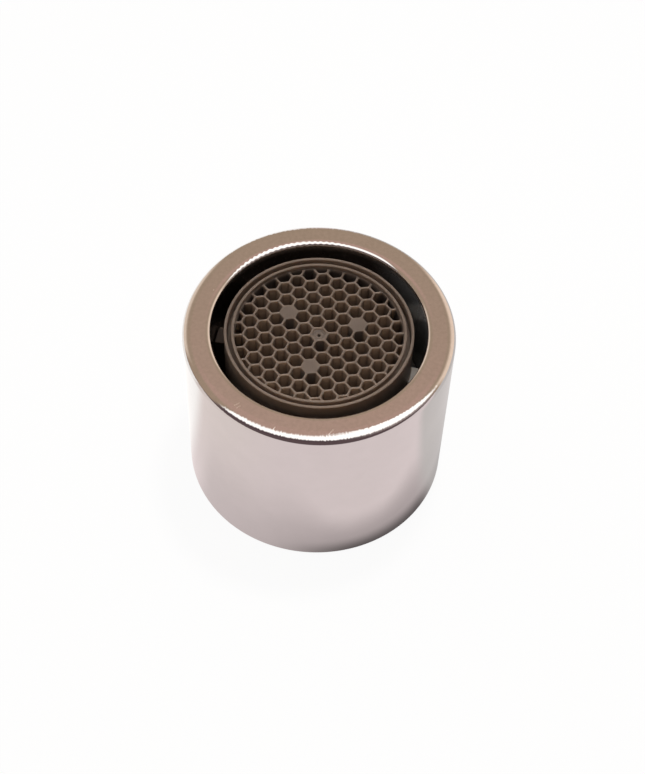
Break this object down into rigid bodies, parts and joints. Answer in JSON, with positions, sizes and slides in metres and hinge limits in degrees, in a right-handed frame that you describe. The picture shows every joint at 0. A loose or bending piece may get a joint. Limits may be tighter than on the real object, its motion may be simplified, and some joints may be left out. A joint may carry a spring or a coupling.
{
  "type": "tap aerator",
  "caption": "Round chromed tap aerator with a female tap thread, a rubber washer and a moulded core whose honeycomb outlet sits inside an annular air gap.",
  "frame": {"origin": "centre of the tap-end rim, on the surface that the part stands on", "axes": "+Z along the axis from the tap thread to the outlet; -Y is the side that faces the camera"},
  "size_m": [0.024, 0.024, 0.0187],
  "materials": {
    "chrome_plate": "bright plate on turned brass",
    "black_rubber": "matt",
    "pale_plastic": "moulded, satin",
    "taupe_plastic": "moulded, satin",
    "steel_wire": "bright wire"
  },
  "bodies": {
    "root": {"housing": "chrome_plate", "sealing_washer": "black_rubber", "inlet_strainer": "pale_plastic", "jet_plate": "pale_plastic", "core_sleeve": "taupe_plastic", "first_screen": "steel_wire", "first_spacer": "taupe_plastic", "second_screen": "steel_wire", "second_spacer": "taupe_plastic", "third_screen": "steel_wire", "honeycomb_outlet": "taupe_plastic"}
  },
  "joints": []
}
